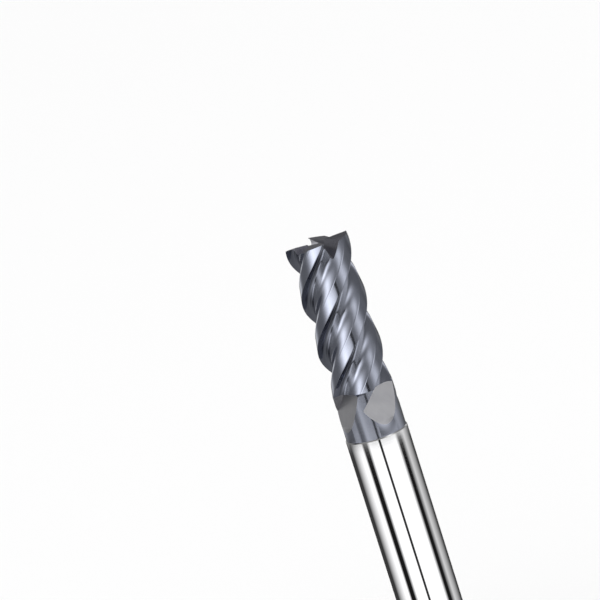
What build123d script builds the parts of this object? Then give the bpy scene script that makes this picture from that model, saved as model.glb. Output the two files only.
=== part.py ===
from build123d import *
import math
import os

# Four-flute, square-end, right-hand end mill. Millimetres, +Z from the shank end to the cutting tip,
# origin at the centre of the shank end. The near side is -Y.

# Driving dimensions
DIAMETER = 10.0  # cutting diameter, and the h6 shank
LENGTH = 75.0  # overall
FLUTE_LENGTH = 24.0  # full-depth flutes, from the tip
COATED_LENGTH = 31.5  # front part that is coated, from the tip
LEAD = 32.8  # axial travel of one helix turn: 44 degrees at the cutting diameter
FLUTES = 4
TIP_EDGE_ANGLE = 11.5  # azimuth of the first cutting edge at the tip, from +X

# Shares of the cutting radius
NECK_SHARE = 0.968
LAND_END_SHARE = 0.93
GULLET_SHARE = 0.69
CORE_SHARE = 0.50

# Section of one tooth, degrees behind its cutting edge (the tool turns towards greater azimuth)
MARGIN_END = 1.2
LAND_END = 26.0
GULLET_START = 62.0
TOOTH_SPLIT = 68.0  # halfway along the gullet floor, where one tooth meets the next
GULLET_END = 74.0
RAKE_ANGLE = 10.0  # hook of the rake face
LAND_RELIEF = 9.0
HEEL_RELIEF = 26.0

# How far the ends of the section's curves pull along their own directions
FLOOR_PULL = 0.9
EDGE_PULL = 1.1
LAND_PULL = 0.7
HEEL_PULL = 1.0

# End teeth
DISH_ANGLE = 1.5
RELIEF_ANGLE = 7.0
RELIEF_WIDTH = 2.4
CLEARANCE_ANGLE = 30.0
GASH_ANGLE = 27.0  # slope of the gash floor, down and outwards
GASH_OPENING = 62.0  # between the two walls of a gash
GASH_LEAN = 14.0  # lean of its wall below the end edge
LONG_GASH_DEPTH = 1.3  # at the centre of the end face
SHORT_GASH_START = 1.2  # distance from the centre where a short tooth's gash begins
GASH_FILLET = 0.25

# Run-out into the neck: the helical groove climbs out, and a flat facet is ground in front of it
CLIMB_LENGTH = 1.8
CLIMB_STEPS = 3
FACET_LENGTH = 5.8  # from the end of the full-depth flute to where the facet leaves the neck
FACET_SLOPE = 18.0
FACET_TURN = 7.0  # degrees ahead of the cutting edge, where the full-depth flute ends
FACET_STEPS = 7
FACET_MARGIN = 0.3  # how far the cut runs on below the facet, outside the neck

# Shank
END_CHAMFER = 0.6
SHOULDER_CHAMFER = 0.15

RADIUS = DIAMETER / 2
PITCH_ANGLE = 360 / FLUTES
NECK_RADIUS = RADIUS * NECK_SHARE
CORE_RADIUS = RADIUS * CORE_SHARE
GULLET_RADIUS = RADIUS * GULLET_SHARE
SHANK_TOP = LENGTH - COATED_LENGTH
FLUTE_START = LENGTH - FLUTE_LENGTH
OUTSIDE = 1.5 * RADIUS  # clear of the tool, for cutters
REACH = 4 * RADIUS  # width of the cut over a facet


def polar(radius, degrees):
    """Point of a section, from its radius and its azimuth."""
    angle = math.radians(degrees)
    return (radius * math.cos(angle), radius * math.sin(angle))


def heading(degrees):
    """Unit direction in a section."""
    return polar(1.0, degrees)


def edge_azimuth(height):
    """Azimuth of the first cutting edge at a height: the helix turns back going down."""
    return TIP_EDGE_ANGLE - (LENGTH - height) / LEAD * 360


def bend(start, start_heading, start_pull, end, end_heading, end_pull):
    """A curve that leaves one point and arrives at another in given directions."""
    out = polar(start_pull, start_heading)
    back = polar(end_pull, end_heading)
    Bezier(start, (start[0] + out[0], start[1] + out[1]), (end[0] - back[0], end[1] - back[1]), end)


def rake_line(azimuth):
    """Gullet floor, then the hooked rake face, out to the cutting edge at this azimuth."""
    floor = azimuth + PITCH_ANGLE - GULLET_END
    edge = polar(RADIUS, azimuth)
    bend(polar(GULLET_RADIUS, floor), floor - 90, FLOOR_PULL, edge, azimuth + RAKE_ANGLE, EDGE_PULL)


def back_line(azimuth):
    """Eccentric land behind the edge at this azimuth, then the heel, down to the gullet floor."""
    margin = azimuth - MARGIN_END
    land = azimuth - LAND_END
    floor = azimuth - GULLET_START
    land_end = polar(RADIUS * LAND_END_SHARE, land)
    relief = 90 + LAND_RELIEF
    heel = land - 90 - HEEL_RELIEF
    bend(polar(RADIUS, margin), margin - relief, LAND_PULL, land_end, land - relief, LAND_PULL)
    bend(land_end, heel, HEEL_PULL, polar(GULLET_RADIUS, floor), floor - 90, FLOOR_PULL)


def along(radial, ahead, up, azimuth):
    """Direction from its parts outwards, ahead in the turning direction and towards the tip."""
    across = heading(azimuth + 90)
    outward = heading(azimuth)
    return (radial * outward[0] + ahead * across[0], radial * outward[1] + ahead * across[1], up)


with BuildPart() as shank:
    Cylinder(RADIUS, SHANK_TOP, align=(Align.CENTER, Align.CENTER, Align.MIN))
    rims = shank.edges().filter_by(GeomType.CIRCLE).sort_by(Axis.Z)
    chamfer(rims[0], END_CHAMFER)
    chamfer(rims[-1], SHOULDER_CHAMFER)

# The end face: a dished relief behind each end edge, over one quarter of the face.
with BuildPart() as end_grind:
    dish = math.tan(math.radians(DISH_ANGLE))
    drop = RELIEF_WIDTH * math.tan(math.radians(RELIEF_ANGLE))
    far_drop = drop + (OUTSIDE - RELIEF_WIDTH) * math.tan(math.radians(CLEARANCE_ANGLE))
    for number in range(FLUTES):
        azimuth = TIP_EDGE_ANGLE + number * PITCH_ANGLE
        across_edge = Plane(
            origin=(0, 0, LENGTH - RADIUS * dish),
            x_dir=along(0, 1, 0, azimuth),
            z_dir=along(1, 0, dish, azimuth),
        )
        with BuildSketch(across_edge):
            with BuildLine():
                Polyline(
                    (0, 0),
                    (-RELIEF_WIDTH, -drop),
                    (-OUTSIDE, -far_drop),
                    (-OUTSIDE, OUTSIDE),
                    (0, OUTSIDE),
                    close=True,
                )
            make_face()
        extrude(amount=OUTSIDE)

# The gashes: a sloping groove in front of each end edge. Those of the long teeth cross the centre.
with BuildPart() as gashes:
    lean = math.radians(GASH_LEAN)
    slope = math.radians(GASH_ANGLE)
    opening = math.radians(GASH_OPENING)
    for number in range(FLUTES):
        azimuth = TIP_EDGE_ANGLE + number * PITCH_ANGLE
        is_long = number % 2 == 1
        start = -LONG_GASH_DEPTH / math.tan(slope) if is_long else SHORT_GASH_START
        across_groove = Plane(
            origin=(*polar(start, azimuth), LENGTH),
            x_dir=along(0, math.cos(lean), math.sin(lean), azimuth),
            z_dir=along(
                math.cos(slope), math.sin(slope) * math.sin(lean), -math.sin(slope) * math.cos(lean), azimuth
            ),
        )
        with BuildSketch(across_groove) as groove:
            with BuildLine():
                Polyline(
                    (0, 0),
                    (0, 2 * OUTSIDE),
                    (2 * OUTSIDE * math.sin(opening), 2 * OUTSIDE),
                    (2 * OUTSIDE * math.sin(opening), 2 * OUTSIDE * math.cos(opening)),
                    close=True,
                )
            make_face()
            fillet(groove.vertices().sort_by(Axis.Y)[0], GASH_FILLET)
        extrude(amount=2 * OUTSIDE)

with BuildPart() as core:
    with BuildSketch(Plane.XY.offset(FLUTE_START)):
        Circle(CORE_RADIUS)
    extrude(amount=FLUTE_LENGTH)
    add(end_grind.part, mode=Mode.SUBTRACT)
    add(gashes.part, mode=Mode.SUBTRACT)


def build_tooth(number):
    """One helical tooth, standing on the core, with its end ground."""
    azimuth = edge_azimuth(FLUTE_START) + number * PITCH_ANGLE
    back = azimuth - TOOTH_SPLIT
    front = back + PITCH_ANGLE
    with BuildPart() as tooth:
        with BuildSketch(Plane.XY.offset(FLUTE_START)):
            with BuildLine():
                rake_line(azimuth)
                CenterArc((0, 0), RADIUS, azimuth - MARGIN_END, MARGIN_END)
                back_line(azimuth)
                CenterArc((0, 0), GULLET_RADIUS, back, TOOTH_SPLIT - GULLET_START)
                Line(polar(GULLET_RADIUS, back), polar(CORE_RADIUS, back))
                CenterArc((0, 0), CORE_RADIUS, back, PITCH_ANGLE)
                Line(polar(CORE_RADIUS, front), polar(GULLET_RADIUS, front))
                CenterArc((0, 0), GULLET_RADIUS, front - (GULLET_END - TOOTH_SPLIT), GULLET_END - TOOTH_SPLIT)
            make_face()
        with BuildLine(mode=Mode.PRIVATE) as axis_line:
            Line((0, 0, FLUTE_START), (0, 0, LENGTH))
        with BuildLine(Plane.XY.offset(FLUTE_START), mode=Mode.PRIVATE) as guide:
            Helix(LEAD, FLUTE_LENGTH, RADIUS)
        sweep(path=axis_line.line, binormal=guide.line.edges()[0])
        add(end_grind.part, mode=Mode.SUBTRACT)
        add(gashes.part, mode=Mode.SUBTRACT)
    return tooth.part


def build_climb(number):
    """The space that the grinding wheel sweeps as it climbs out of one helical flute."""
    with BuildPart() as space:
        for step in range(CLIMB_STEPS + 1):
            share = step / CLIMB_STEPS
            height = FLUTE_START - share * CLIMB_LENGTH
            azimuth = edge_azimuth(height) + number * PITCH_ANGLE
            lift = share * (RADIUS - GULLET_RADIUS)
            following = azimuth + PITCH_ANGLE
            middle = following - TOOTH_SPLIT
            with BuildSketch(Plane(origin=(*polar(lift, middle), height))):
                with BuildLine():
                    rake_line(azimuth)
                    CenterArc((0, 0), GULLET_RADIUS, following - GULLET_END, GULLET_END - GULLET_START)
                    back_line(following)
                    Polyline(
                        polar(RADIUS, following - MARGIN_END),
                        polar(OUTSIDE, following - MARGIN_END),
                        polar(OUTSIDE, azimuth),
                        polar(RADIUS, azimuth),
                    )
                make_face()
        loft()
    return space.part


def build_facet(number):
    """The space over one flat run-out facet, bounded by the helical rake face behind it."""
    facing = edge_azimuth(FLUTE_START) + FACET_TURN + number * PITCH_ANGLE
    out = heading(facing)
    sideways = heading(facing + 90)
    with BuildPart() as space:
        for step in range(FACET_STEPS + 1):
            down = step / FACET_STEPS * (FACET_LENGTH + FACET_MARGIN)
            height = FLUTE_START - down
            depth = NECK_RADIUS - (FACET_LENGTH - down) * math.tan(math.radians(FACET_SLOPE))
            azimuth = edge_azimuth(height) + number * PITCH_ANGLE
            edge = polar(RADIUS, azimuth)
            wall = heading(azimuth + RAKE_ANGLE)
            gap = (edge[0] * out[0] + edge[1] * out[1] - depth) / (wall[0] * out[0] + wall[1] * out[1])
            corner = (edge[0] - gap * wall[0], edge[1] - gap * wall[1])
            far = (corner[0] + REACH * sideways[0], corner[1] + REACH * sideways[1])
            with BuildSketch(Plane.XY.offset(height)):
                with BuildLine():
                    Polyline(
                        corner,
                        far,
                        (far[0] + REACH * out[0], far[1] + REACH * out[1]),
                        (corner[0] + REACH * wall[0], corner[1] + REACH * wall[1]),
                        close=True,
                    )
                make_face()
        loft()
    return space.part


with BuildPart() as neck:
    with BuildSketch(Plane.XY.offset(SHANK_TOP)):
        Circle(NECK_RADIUS)
    extrude(amount=FLUTE_START - SHANK_TOP)
    for number in range(FLUTES):
        add(build_climb(number), mode=Mode.SUBTRACT)
        add(build_facet(number), mode=Mode.SUBTRACT)

pieces = {"shank": shank.part, "neck": neck.part, "core": core.part}
for number in range(FLUTES):
    pieces[f"tooth_{number + 1}"] = build_tooth(number)

os.makedirs("parts", exist_ok=True)
for name, piece in pieces.items():
    piece.label = name
    export_step(piece, f"parts/{name}.step")
    print(name, round(piece.volume, 1), len(piece.solids()), piece.is_valid)
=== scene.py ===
import math

import bmesh
import bpy
from mathutils import Matrix, Vector


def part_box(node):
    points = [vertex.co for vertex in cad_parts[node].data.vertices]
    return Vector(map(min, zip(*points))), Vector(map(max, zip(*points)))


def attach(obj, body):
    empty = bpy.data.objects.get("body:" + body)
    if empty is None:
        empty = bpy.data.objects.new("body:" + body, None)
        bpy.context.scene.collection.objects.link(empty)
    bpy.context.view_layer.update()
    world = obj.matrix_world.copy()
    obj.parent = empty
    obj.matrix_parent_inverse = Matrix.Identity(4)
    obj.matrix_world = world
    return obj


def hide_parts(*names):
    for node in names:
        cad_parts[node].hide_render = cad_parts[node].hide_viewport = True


# A four-flute, square-end, right-hand end mill, 1:1 in metres, standing on its shank end.

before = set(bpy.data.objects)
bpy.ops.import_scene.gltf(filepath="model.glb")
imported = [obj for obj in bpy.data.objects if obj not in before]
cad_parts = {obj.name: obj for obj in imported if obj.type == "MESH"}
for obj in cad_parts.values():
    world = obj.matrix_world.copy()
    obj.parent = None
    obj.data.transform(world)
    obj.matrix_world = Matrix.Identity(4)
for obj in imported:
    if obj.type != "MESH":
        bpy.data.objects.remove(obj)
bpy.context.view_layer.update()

# Sizes read from the frame
MM = 0.001
UM = 0.000001
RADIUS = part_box("shank")[1].x
SHANK_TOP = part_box("shank")[1].z
FLUTE_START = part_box("neck")[1].z
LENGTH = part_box("tooth_1")[1].z
CORE_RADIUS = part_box("core")[1].x
NECK_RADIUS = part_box("neck")[1].x

# Flutes
FLUTES = 4
PITCH_ANGLE = 360 / FLUTES
LEAD = 32.8 * MM
TIP_EDGE_ANGLE = 11.5
GULLET_RADIUS = 0.69 * RADIUS
LAND_END_RADIUS = 0.93 * RADIUS
MARGIN_END = 1.2
LAND_END = 26.0
LAND_RELIEF = 9.0
HEEL_RELIEF = 26.0
GULLET_START = 62.0
TOOTH_SPLIT = 68.0
GULLET_END = 74.0
RAKE_ANGLE = 10.0
OUTSIDE = 1.5 * RADIUS  # clear of the tool, for cutters

# How far the ends of the section's curves pull along their own directions
FLOOR_PULL = 0.9 * MM
EDGE_PULL = 1.1 * MM
LAND_PULL = 0.7 * MM
HEEL_PULL = 1.0 * MM

# Run-out into the neck
CLIMB_LENGTH = 1.8 * MM
FACET_LENGTH = 5.8 * MM
FACET_SLOPE = 18.0
FACET_TURN = 7.0
FACET_MARGIN = 0.3 * MM  # how far the cut runs on below the facet, outside the neck
REACH = 4 * RADIUS  # width of the cut over a facet

# End teeth
DISH_ANGLE = 1.5
RELIEF_ANGLE = 7.0
RELIEF_WIDTH = 2.4 * MM
CLEARANCE_ANGLE = 30.0
GASH_ANGLE = 27.0
GASH_OPENING = 62.0
GASH_LEAN = 14.0
GASH_FILLET = 0.25 * MM
LONG_GASH_DEPTH = 1.3 * MM
SHORT_GASH_START = 1.2 * MM

# Shank
END_CHAMFER = 0.6 * MM
SHOULDER_CHAMFER = 0.15 * MM

# Mesh fineness
TURN_STEP = 2.0  # degrees of helix per row
ROUND_STEPS = 256  # around the shank
RAKE_STEPS = 20
MARGIN_STEPS = 2
LAND_STEPS = 12
HEEL_STEPS = 20
FLOOR_STEPS = 4  # on each side of the split between two teeth
FLUTE_FLOOR_STEPS = 6
CORE_STEPS = 30
FILLET_STEPS = 6
CLIMB_ROWS = 20
FACET_ROWS = 40
SHARP_ANGLE = 25.0  # edges sharper than this stay crisp

# Cutting: tried shifts in micrometres, and the share of a piece's volume that a cut may leave
NUDGES = (0, 1, -1, 2, -2, 4, -4)
LEAST_LEFT = 0.5
MOST_LEFT = 1.0001


# ---------------------------------------------------------------- sections

def polar(radius, degrees):
    angle = math.radians(degrees)
    return Vector((radius * math.cos(angle), radius * math.sin(angle)))


def bezier(p0, p1, p2, p3, steps):
    """Points of a cubic curve, without its last point."""
    points = []
    for i in range(steps):
        t = i / steps
        u = 1 - t
        points.append(u**3 * p0 + 3 * u * u * t * p1 + 3 * u * t * t * p2 + t**3 * p3)
    return points


def bend(start, start_heading, start_pull, end, end_heading, end_pull, steps):
    """A curve that leaves one point and arrives at another in given directions."""
    first = start + polar(start_pull, start_heading)
    second = end - polar(end_pull, end_heading)
    return bezier(start, first, second, end, steps)


def arc(radius, start, end, steps):
    return [polar(radius, start + (end - start) * i / steps) for i in range(steps)]


def rake_points(edge):
    floor = edge + PITCH_ANGLE - GULLET_END
    return bend(
        polar(GULLET_RADIUS, floor), floor - 90, FLOOR_PULL,
        polar(RADIUS, edge), edge + RAKE_ANGLE, EDGE_PULL, RAKE_STEPS,
    )


def back_points(edge):
    """Margin, land and heel, from the cutting edge to the gullet floor."""
    margin = edge - MARGIN_END
    land = edge - LAND_END
    floor = edge - GULLET_START
    points = arc(RADIUS, edge, margin, MARGIN_STEPS)
    points += bend(
        polar(RADIUS, margin), margin - 90 - LAND_RELIEF, LAND_PULL,
        polar(LAND_END_RADIUS, land), land - 90 - LAND_RELIEF, LAND_PULL, LAND_STEPS,
    )
    points += bend(
        polar(LAND_END_RADIUS, land), land - 90 - HEEL_RELIEF, HEEL_PULL,
        polar(GULLET_RADIUS, floor), floor - 90, FLOOR_PULL, HEEL_STEPS,
    )
    return points


def tooth_section(edge):
    """Closed outline of one tooth around the core, counted clockwise from its front."""
    split = edge - TOOTH_SPLIT
    points = arc(GULLET_RADIUS, split + PITCH_ANGLE, edge + PITCH_ANGLE - GULLET_END, FLOOR_STEPS)
    points += rake_points(edge)
    points += back_points(edge)
    points += arc(GULLET_RADIUS, edge - GULLET_START, split, FLOOR_STEPS)
    points += [polar(GULLET_RADIUS, split)]
    points += arc(CORE_RADIUS, split, split + PITCH_ANGLE, CORE_STEPS)
    points += [polar(CORE_RADIUS, split + PITCH_ANGLE)]
    return points


def flute_section(edge, lift):
    """Closed outline of the space from one edge to the next, moved outwards by lift."""
    following = edge + PITCH_ANGLE
    points = [polar(OUTSIDE, following - MARGIN_END), polar(OUTSIDE, edge), polar(RADIUS, edge)]
    points += list(reversed(rake_points(edge)))[:-1]
    points += arc(GULLET_RADIUS, following - GULLET_END, following - GULLET_START, FLUTE_FLOOR_STEPS)
    points += [polar(GULLET_RADIUS, following - GULLET_START)]
    points += list(reversed(back_points(following)))[:-MARGIN_STEPS]
    shift = polar(lift, following - TOOTH_SPLIT)
    return [p + shift for p in points]


# ---------------------------------------------------------------- meshes

def new_object(name, mesh_maker):
    mesh = bpy.data.meshes.new(name)
    bm = bmesh.new()
    mesh_maker(bm)
    bmesh.ops.recalc_face_normals(bm, faces=bm.faces)
    bm.to_mesh(mesh)
    bm.free()
    piece = bpy.data.objects.new(name, mesh)
    bpy.context.scene.collection.objects.link(piece)
    return piece


def skin_rings(bm, rings):
    """A closed solid through rings of points, all with the same count."""
    rows = [[bm.verts.new(p) for p in ring] for ring in rings]
    count = len(rows[0])
    for low, high in zip(rows, rows[1:]):
        for i in range(count):
            j = (i + 1) % count
            bm.faces.new((low[i], low[j], high[j], high[i]))
    bm.faces.new(list(reversed(rows[0])))
    bm.faces.new(rows[-1])


def ring_at(section, height):
    return [Vector((p.x, p.y, height)) for p in section]


def edge_azimuth(height):
    return TIP_EDGE_ANGLE - (LENGTH - height) / LEAD * 360


def tooth_mesh(number):
    turn = (LENGTH - FLUTE_START) / LEAD * 360
    rows = math.ceil(turn / TURN_STEP)

    def make(bm):
        rings = []
        for row in range(rows + 1):
            height = FLUTE_START + (LENGTH - FLUTE_START) * row / rows
            rings.append(ring_at(tooth_section(edge_azimuth(height) + number * PITCH_ANGLE), height))
        skin_rings(bm, rings)

    return make


def climb_mesh(number):
    """The space that the grinding wheel sweeps as it climbs out of one helical flute."""
    rows = CLIMB_ROWS

    def make(bm):
        rings = []
        for row in range(-1, rows + 1):
            share = row / rows
            height = FLUTE_START - share * CLIMB_LENGTH
            lift = max(share, 0) * (RADIUS - GULLET_RADIUS)
            rings.append(ring_at(flute_section(edge_azimuth(height) + number * PITCH_ANGLE, lift), height))
        skin_rings(bm, rings)

    return make


def facet_mesh(number):
    """The space over one flat run-out facet, bounded by the helical rake face behind it."""
    rows = FACET_ROWS
    facing = edge_azimuth(FLUTE_START) + FACET_TURN + number * PITCH_ANGLE
    out, sideways = polar(1, facing), polar(1, facing + 90)

    def make(bm):
        rings = []
        for row in range(-1, rows + 1):
            down = row / rows * (FACET_LENGTH + FACET_MARGIN)
            height = FLUTE_START - down
            depth = NECK_RADIUS - (FACET_LENGTH - down) * math.tan(math.radians(FACET_SLOPE))
            azimuth = edge_azimuth(height) + number * PITCH_ANGLE
            edge, wall = polar(RADIUS, azimuth), polar(1, azimuth + RAKE_ANGLE)
            corner = edge - (edge.dot(out) - depth) / wall.dot(out) * wall
            far = corner + REACH * sideways
            rings.append(ring_at([corner, far, far + REACH * out, corner + REACH * wall], height))
        skin_rings(bm, rings)

    return make


def turned_mesh(profile):
    """A closed round solid from (radius, height) pairs, bottom to top."""
    def make(bm):
        rings = []
        for radius, height in profile:
            rings.append(ring_at(arc(radius, 0, 360, ROUND_STEPS), height))
        skin_rings(bm, rings)

    return make


def prism_mesh(outline, origin, x_dir, y_dir, depth):
    """A prism on a plane outline, which stands along x_dir cross y_dir."""
    along = x_dir.cross(y_dir)

    def make(bm):
        base = [origin + p.x * x_dir + p.y * y_dir for p in outline]
        skin_rings(bm, [base, [p + along * depth for p in base]])

    return make


def direction(radial, ahead, up, azimuth):
    outward = polar(1, azimuth)
    across = polar(1, azimuth + 90)
    return Vector((radial * outward.x + ahead * across.x, radial * outward.y + ahead * across.y, up))


def relief_cutter(number):
    azimuth = TIP_EDGE_ANGLE + number * PITCH_ANGLE
    dish = math.tan(math.radians(DISH_ANGLE))
    drop = RELIEF_WIDTH * math.tan(math.radians(RELIEF_ANGLE))
    far_drop = drop + (OUTSIDE - RELIEF_WIDTH) * math.tan(math.radians(CLEARANCE_ANGLE))
    outline = [
        Vector((0, 0)),
        Vector((-RELIEF_WIDTH, -drop)),
        Vector((-OUTSIDE, -far_drop)),
        Vector((-OUTSIDE, OUTSIDE)),
        Vector((0, OUTSIDE)),
    ]
    z_dir = direction(1, 0, dish, azimuth).normalized()
    x_dir = direction(0, 1, 0, azimuth)
    y_dir = z_dir.cross(x_dir)
    origin = Vector((0, 0, LENGTH - RADIUS * dish))
    return new_object(f"relief_cutter_{number}", prism_mesh(outline, origin, x_dir, y_dir, OUTSIDE))


def gash_cutter(number):
    azimuth = TIP_EDGE_ANGLE + number * PITCH_ANGLE
    lean = math.radians(GASH_LEAN)
    slope = math.radians(GASH_ANGLE)
    opening = math.radians(GASH_OPENING)
    start = -LONG_GASH_DEPTH / math.tan(slope) if number % 2 == 1 else SHORT_GASH_START
    reach = 2 * OUTSIDE
    # the groove's bottom is rounded: tangent points on both walls, and an arc between them
    tangent_length = GASH_FILLET / math.tan(opening / 2)
    centre = Vector((GASH_FILLET, tangent_length))
    outline = []
    for i in range(FILLET_STEPS + 1):
        angle = math.pi + (math.pi - opening) * i / FILLET_STEPS
        outline.append(centre + GASH_FILLET * Vector((math.cos(angle), math.sin(angle))))
    outline.append(Vector((reach * math.sin(opening), reach * math.cos(opening))))
    outline.append(Vector((reach * math.sin(opening), reach)))
    outline.append(Vector((0, reach)))
    x_dir = direction(0, math.cos(lean), math.sin(lean), azimuth)
    z_dir = direction(
        math.cos(slope), math.sin(slope) * math.sin(lean), -math.sin(slope) * math.cos(lean), azimuth
    )
    y_dir = z_dir.cross(x_dir)
    origin = direction(start, 0, LENGTH, azimuth)
    return new_object(f"gash_cutter_{number}", prism_mesh(outline, origin, x_dir, y_dir, reach))


def volume_of(mesh):
    bm = bmesh.new()
    bm.from_mesh(mesh)
    volume = bm.calc_volume(signed=True)
    bm.free()
    return volume


def cut(piece, cutters):
    """Subtract the cutters one by one. One that fails is tried again a few micrometres away."""
    for cutter in cutters:
        before = volume_of(piece.data)
        for nudge in NUDGES:
            cutter.location = (nudge * UM, 0.7 * nudge * UM, 0.4 * nudge * UM)
            modifier = piece.modifiers.new("cut", "BOOLEAN")
            modifier.operation = "DIFFERENCE"
            modifier.solver = "EXACT"
            modifier.material_mode = "TRANSFER"
            modifier.object = cutter
            depsgraph = bpy.context.evaluated_depsgraph_get()
            result = bpy.data.meshes.new_from_object(piece.evaluated_get(depsgraph))
            piece.modifiers.clear()
            if LEAST_LEFT * before < volume_of(result) <= before * MOST_LEFT:
                break
        else:
            raise RuntimeError(f"{cutter.name} does not cut {piece.name}")
        piece.data = result


def finish_surface(piece):
    mesh = piece.data
    for polygon in mesh.polygons:
        polygon.use_smooth = True
    mesh.set_sharp_from_angle(angle=math.radians(SHARP_ANGLE))


# ---------------------------------------------------------------- materials

# Noise scales per metre: clouds of tint, and grinding lines, which are fine across and long along
CLOUD_SCALE = 400
HELICAL_STRETCH = (9000, 9000, 150)
ROUND_STRETCH = (250, 250, 14000)
SLANTED_STRETCH = (9000, 9000, 300)
SLANT = 40.0
GRAIN_DETAIL = 6.0
CLOUD_DETAIL = 4.0

def new_material(name):
    material = bpy.data.materials.new(name)
    material.use_nodes = True
    nodes = material.node_tree.nodes
    return material, nodes, material.node_tree.links, nodes["Principled BSDF"]


def feed(links, socket, value):
    """Set a socket to a number or a vector, or link it to another socket."""
    if isinstance(value, bpy.types.NodeSocket):
        links.new(value, socket)
    else:
        socket.default_value = value


def math_node(nodes, links, operation, *values):
    node = nodes.new("ShaderNodeMath")
    node.operation = operation
    for socket, value in zip(node.inputs, values):
        feed(links, socket, value)
    return node.outputs[0]


def object_position(nodes):
    return nodes.new("ShaderNodeTexCoord").outputs["Object"]


def stretched(nodes, links, vector, scale):
    mapping = nodes.new("ShaderNodeMapping")
    mapping.inputs["Scale"].default_value = scale
    links.new(vector, mapping.inputs["Vector"])
    return mapping.outputs[0]


def noise(nodes, links, vector, scale, detail):
    texture = nodes.new("ShaderNodeTexNoise")
    texture.inputs["Scale"].default_value = scale
    texture.inputs["Detail"].default_value = detail
    links.new(vector, texture.inputs["Vector"])
    return texture.outputs["Fac"]


def between(nodes, links, factor, low, high):
    """Spread the middle of a noise over a range of numbers."""
    spread = nodes.new("ShaderNodeMapRange")
    spread.inputs["From Min"].default_value = 0.3
    spread.inputs["From Max"].default_value = 0.7
    spread.inputs["To Min"].default_value = low
    spread.inputs["To Max"].default_value = high
    links.new(factor, spread.inputs["Value"])
    return spread.outputs[0]


def tint(nodes, links, factor, first, second):
    """Vary between two colours with a noise."""
    mix = nodes.new("ShaderNodeMix")
    mix.data_type = "RGBA"
    mix.inputs[6].default_value = (*first, 1)
    mix.inputs[7].default_value = (*second, 1)
    links.new(between(nodes, links, factor, 0, 1), mix.inputs[0])
    return mix.outputs[2]


def ground_metal(name, first, second, roughness, spread, lines, line_height):
    """Metal with grinding lines: lines(nodes, links) gives the coordinates along which they are drawn out."""
    material, nodes, links, shader = new_material(name)
    shader.inputs["Metallic"].default_value = 1
    cloudy = noise(nodes, links, object_position(nodes), CLOUD_SCALE, CLOUD_DETAIL)
    grain = noise(nodes, links, lines(nodes, links), 1.0, GRAIN_DETAIL)
    links.new(tint(nodes, links, cloudy, first, second), shader.inputs["Base Color"])
    varied = between(nodes, links, grain, roughness - spread, roughness + spread)
    links.new(varied, shader.inputs["Roughness"])
    bump = nodes.new("ShaderNodeBump")
    bump.inputs["Strength"].default_value = 1.0
    bump.inputs["Distance"].default_value = line_height
    links.new(grain, bump.inputs["Height"])
    links.new(bump.outputs[0], shader.inputs["Normal"])
    return material


def helical_lines(nodes, links):
    """The section turned back by the helix, so that a pattern in it runs along the flutes."""
    position = object_position(nodes)
    split = nodes.new("ShaderNodeSeparateXYZ")
    links.new(position, split.inputs[0])
    turn = nodes.new("ShaderNodeVectorRotate")
    turn.rotation_type = "Z_AXIS"
    links.new(position, turn.inputs["Vector"])
    angle = math_node(nodes, links, "MULTIPLY", split.outputs["Z"], -math.tau / LEAD)
    links.new(angle, turn.inputs["Angle"])
    return stretched(nodes, links, turn.outputs[0], HELICAL_STRETCH)


def round_lines(nodes, links):
    return stretched(nodes, links, object_position(nodes), ROUND_STRETCH)


def slanted_lines(nodes, links):
    turn = nodes.new("ShaderNodeVectorRotate")
    turn.rotation_type = "Y_AXIS"
    turn.inputs["Angle"].default_value = math.radians(SLANT)
    links.new(object_position(nodes), turn.inputs["Vector"])
    return stretched(nodes, links, turn.outputs[0], SLANTED_STRETCH)


coating = ground_metal(
    "coating", (0.32, 0.34, 0.41), (0.36, 0.38, 0.45), 0.14, 0.03, helical_lines, 0.3 * UM
)
neck_coating = ground_metal(
    "neck_coating", (0.35, 0.37, 0.44), (0.39, 0.41, 0.48), 0.14, 0.03, round_lines, 0.4 * UM
)
ground = ground_metal(
    "ground_facet", (0.43, 0.43, 0.455), (0.49, 0.49, 0.51), 0.36, 0.05, slanted_lines, 1.5 * UM
)
end_ground = ground_metal(
    "ground_end_face", (0.27, 0.27, 0.315), (0.32, 0.32, 0.365), 0.30, 0.05, slanted_lines, 1.0 * UM
)
bare = ground_metal(
    "bare_carbide", (0.88, 0.88, 0.89), (0.91, 0.91, 0.92), 0.035, 0.01, round_lines, 0.15 * UM
)


# ---------------------------------------------------------------- the tool

def claim(piece, node):
    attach(piece, "root")
    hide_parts(node)


end_cutters = []
for number in range(FLUTES):
    end_cutters.append(relief_cutter(number))
    end_cutters.append(gash_cutter(number))
run_out_cutters = []
for number in range(FLUTES):
    run_out_cutters.append(new_object(f"climb_cutter_{number}", climb_mesh(number)))
for number in range(FLUTES):
    run_out_cutters.append(new_object(f"facet_cutter_{number}", facet_mesh(number)))
for cutter in end_cutters:
    cutter.data.materials.append(end_ground)
for cutter in run_out_cutters[:FLUTES]:
    cutter.data.materials.append(coating)
for cutter in run_out_cutters[FLUTES:]:
    cutter.data.materials.append(ground)

shank = new_object("ground_shank", turned_mesh([
    (RADIUS - END_CHAMFER, 0),
    (RADIUS, END_CHAMFER),
    (RADIUS, SHANK_TOP - SHOULDER_CHAMFER),
    (RADIUS - SHOULDER_CHAMFER, SHANK_TOP),
]))
shank.data.materials.append(bare)
finish_surface(shank)
claim(shank, "shank")

neck = new_object("coated_neck", turned_mesh([(NECK_RADIUS, SHANK_TOP), (NECK_RADIUS, FLUTE_START)]))
neck.data.materials.append(neck_coating)
cut(neck, run_out_cutters)
finish_surface(neck)
claim(neck, "neck")

core = new_object("web_core", turned_mesh([(CORE_RADIUS, FLUTE_START), (CORE_RADIUS, LENGTH)]))
core.data.materials.append(coating)
cut(core, end_cutters)
finish_surface(core)
claim(core, "core")

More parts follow.
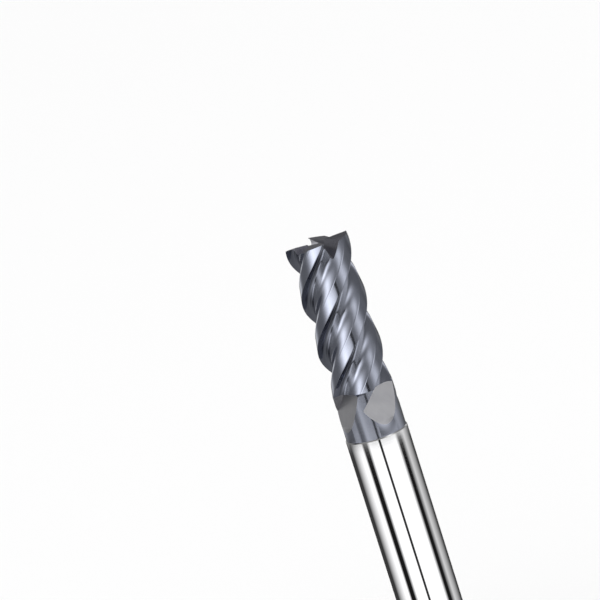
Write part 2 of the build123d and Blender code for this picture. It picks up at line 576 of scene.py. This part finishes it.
for number in range(FLUTES):
    tooth = new_object(f"cutting_tooth_{number + 1}", tooth_mesh(number))
    tooth.data.materials.append(coating)
    cut(tooth, end_cutters)
    finish_surface(tooth)
    claim(tooth, f"tooth_{number + 1}")

for cutter in end_cutters + run_out_cutters:
    bpy.data.objects.remove(cutter)


# ---------------------------------------------------------------- stage

FLOOR_SIZE = 3.0
FLOOR_WHITE = 0.9
FLOOR_ROUGHNESS = 0.9


def floor_mesh(bm):
    bmesh.ops.create_grid(bm, x_segments=1, y_segments=1, size=FLOOR_SIZE)


floor = new_object("floor", floor_mesh)
material, nodes, links, shader = new_material("floor_white")
shader.inputs["Base Color"].default_value = (FLOOR_WHITE, FLOOR_WHITE, FLOOR_WHITE, 1)
shader.inputs["Roughness"].default_value = FLOOR_ROUGHNESS
floor.data.materials.append(material)
floor.visible_glossy = False

# The studio. Azimuth 0 is the near side, positive to the right; the metal reflects these lights and cards.
ROOM_LIGHT = 1.12
SURROUND = 0.23
SOFT_LIGHTS = (  # azimuth, elevation, half width, half height, strength
    (-84, 26, 26, 10, 2.2),
    (-45, 7, 20, 9, 2.6),
    (-18, 12, 16, 10, 1.5),
    (-58, 42, 25, 10, 0.7),
    (10, 41, 22, 10, 1.3),
    (-40, -9, 14, 4, 0.9),
    (42, 12, 18, 14, 1.4),
    (85, -14, 35, 9, 0.7),
    (-56, -32, 20, 14, 0.5),
    (-150, -3, 16, 8, 0.9),
    (138, 10, 12, 8, 1.2),
    (100, -42, 25, 10, 0.5),
    (70, 60, 20, 10, 0.9),
)
DARK_PATCHES = (
    (38, -42, 25, 12, 0.2),
    (110, -57, 40, 8, 0.2),
    (-125, -20, 30, 9, 0.15),
    (180, 26, 50, 12, 0.14),
    (180, -10, 30, 14, 0.18),
    (-118, 40, 26, 10, 0.25),
    (-100, -42, 16, 10, 0.15),
    (-20, -80, 100, 12, 0.08),
    (115, 0, 16, 8, 0.1),
)
UPRIGHT_CARDS = (  # azimuth, brightness of the low cards all round
    (-180, 0.05), (-128, 0.04), (-84, 1.15), (-70, 1.25), (-62, 0.01), (-48, 0.01),
    (-38, 1.25), (-4, 1.25), (-3, 0.02), (4, 0.02), (5, 1.25), (60, 1.25), (72, 0.01), (84, 0.01),
    (102, 0.7), (145, 0.06), (180, 0.05),
)
CARDS_TOP = -14.0
CARDS_BOTTOM = -21.0
CARDS_TOP_BLUR = 0.15
CARDS_BOTTOM_BLUR = 3
CARDS_SCALE = 2.0  # a colour ramp holds up to 1, so it carries the brightness divided by this
LEAST_SKY = 0.01

# A narrow dark gap in front: its sides, and the elevations where it fades in or out
SLIT = (-4, 5)
SLIT_TOP = (13, 10)
SLIT_BOTTOM = (-4, -1)
SLIT_BELOW = (-11.5, -12.5)
SLIT_DARKNESS = 0.95

world = bpy.data.worlds.new("studio")
bpy.context.scene.world = world
world.use_nodes = True
nodes, links = world.node_tree.nodes, world.node_tree.links


def calc(operation, *values):
    return math_node(nodes, links, operation, *values)


def step(value, start, end):
    """Smooth 0 to 1 as the value goes from start to end."""
    ramp = nodes.new("ShaderNodeMapRange")
    ramp.interpolation_type = "SMOOTHSTEP"
    ramp.inputs["From Min"].default_value = start
    ramp.inputs["From Max"].default_value = end
    links.new(value, ramp.inputs["Value"])
    return ramp.outputs[0]


def blend(factor, first, second):
    """The first value where the factor is 0, and the second where it is 1."""
    mix = nodes.new("ShaderNodeMix")
    links.new(factor, mix.inputs[0])
    feed(links, mix.inputs[2], first)
    feed(links, mix.inputs[3], second)
    return mix.outputs[0]


def soft_patch(azimuth, elevation, width, height):
    """1 in the middle of a patch of the sky, fading to 0 around it."""
    across = calc("DIVIDE", calc("WRAP", calc("SUBTRACT", sky_azimuth, azimuth), 180.0, -180.0), width)
    up = calc("DIVIDE", calc("SUBTRACT", sky_elevation, elevation), height)
    distance = calc("ADD", calc("MULTIPLY", across, across), calc("MULTIPLY", up, up))
    return calc("EXPONENT", calc("MULTIPLY", distance, -1.0))


split = nodes.new("ShaderNodeSeparateXYZ")
links.new(nodes.new("ShaderNodeTexCoord").outputs["Generated"], split.inputs[0])
to_degrees = 180 / math.pi
nearness = calc("MULTIPLY", split.outputs["Y"], -1.0)
sky_azimuth = calc("MULTIPLY", calc("ARCTAN2", split.outputs["X"], nearness), to_degrees)
sky_elevation = calc("MULTIPLY", calc("ARCSINE", split.outputs["Z"]), to_degrees)

sky = SURROUND
for azimuth, elevation, width, height, strength in SOFT_LIGHTS:
    sky = calc("ADD", sky, calc("MULTIPLY", soft_patch(azimuth, elevation, width, height), strength))
for azimuth, elevation, width, height, strength in DARK_PATCHES:
    sky = calc("SUBTRACT", sky, calc("MULTIPLY", soft_patch(azimuth, elevation, width, height), strength))
sky = calc("MAXIMUM", sky, LEAST_SKY)

left, right = SLIT
slit = calc("MULTIPLY", step(sky_azimuth, left - 1, left), step(sky_azimuth, right + 1, right))
slit_height = calc("MULTIPLY", step(sky_elevation, *SLIT_TOP), step(sky_elevation, *SLIT_BOTTOM))
slit = calc("MULTIPLY", slit, calc("ADD", slit_height, step(sky_elevation, *SLIT_BELOW)))
sky = calc("MULTIPLY", sky, calc("SUBTRACT", 1.0, calc("MULTIPLY", slit, SLIT_DARKNESS)))

ramp = nodes.new("ShaderNodeValToRGB")
links.new(calc("ADD", calc("DIVIDE", sky_azimuth, 360.0), 0.5), ramp.inputs[0])
stops = ramp.color_ramp.elements
for azimuth, value in UPRIGHT_CARDS[1:-1]:
    stops.new(azimuth / 360 + 0.5)
for stop, (azimuth, value) in zip(stops, UPRIGHT_CARDS):
    grey = value / CARDS_SCALE
    stop.color = (grey, grey, grey, 1)
cards = calc("MULTIPLY", ramp.outputs[0], CARDS_SCALE)
on_cards = calc(
    "MULTIPLY",
    step(sky_elevation, CARDS_TOP + CARDS_TOP_BLUR, CARDS_TOP - CARDS_TOP_BLUR),
    step(sky_elevation, CARDS_BOTTOM - CARDS_BOTTOM_BLUR, CARDS_BOTTOM + CARDS_BOTTOM_BLUR),
)
studio = blend(on_cards, sky, cards)
seen = blend(nodes.new("ShaderNodeLightPath").outputs["Is Glossy Ray"], ROOM_LIGHT, studio)
links.new(seen, nodes["Background"].inputs["Strength"])
nodes["Background"].inputs["Color"].default_value = (1, 1, 1, 1)

# ---------------------------------------------------------------- camera

AIM = Vector((-5.06, 0, 67.0)) * MM
CAMERA_DISTANCE = 430 * MM
CAMERA_ELEVATION = 10.8
CAMERA_ROLL = 17.7
SENSOR_WIDTH = 36
LENS = 167.7

camera_data = bpy.data.cameras.new("camera")
camera = bpy.data.objects.new("camera", camera_data)
bpy.context.scene.collection.objects.link(camera)
bpy.context.scene.camera = camera
camera_data.sensor_width = SENSOR_WIDTH
camera_data.lens = LENS
elevation = math.radians(CAMERA_ELEVATION)
back = Vector((0, -math.cos(elevation), math.sin(elevation)))
camera.location = AIM + back * CAMERA_DISTANCE
camera.rotation_mode = "QUATERNION"
roll = Matrix.Rotation(math.radians(-CAMERA_ROLL), 3, "Z")
camera.rotation_quaternion = ((-back).to_track_quat("-Z", "Y").to_matrix() @ roll).to_quaternion()
camera_data.clip_start = 0.01
camera_data.clip_end = 20

scene = bpy.context.scene
scene.view_settings.view_transform = "Standard"
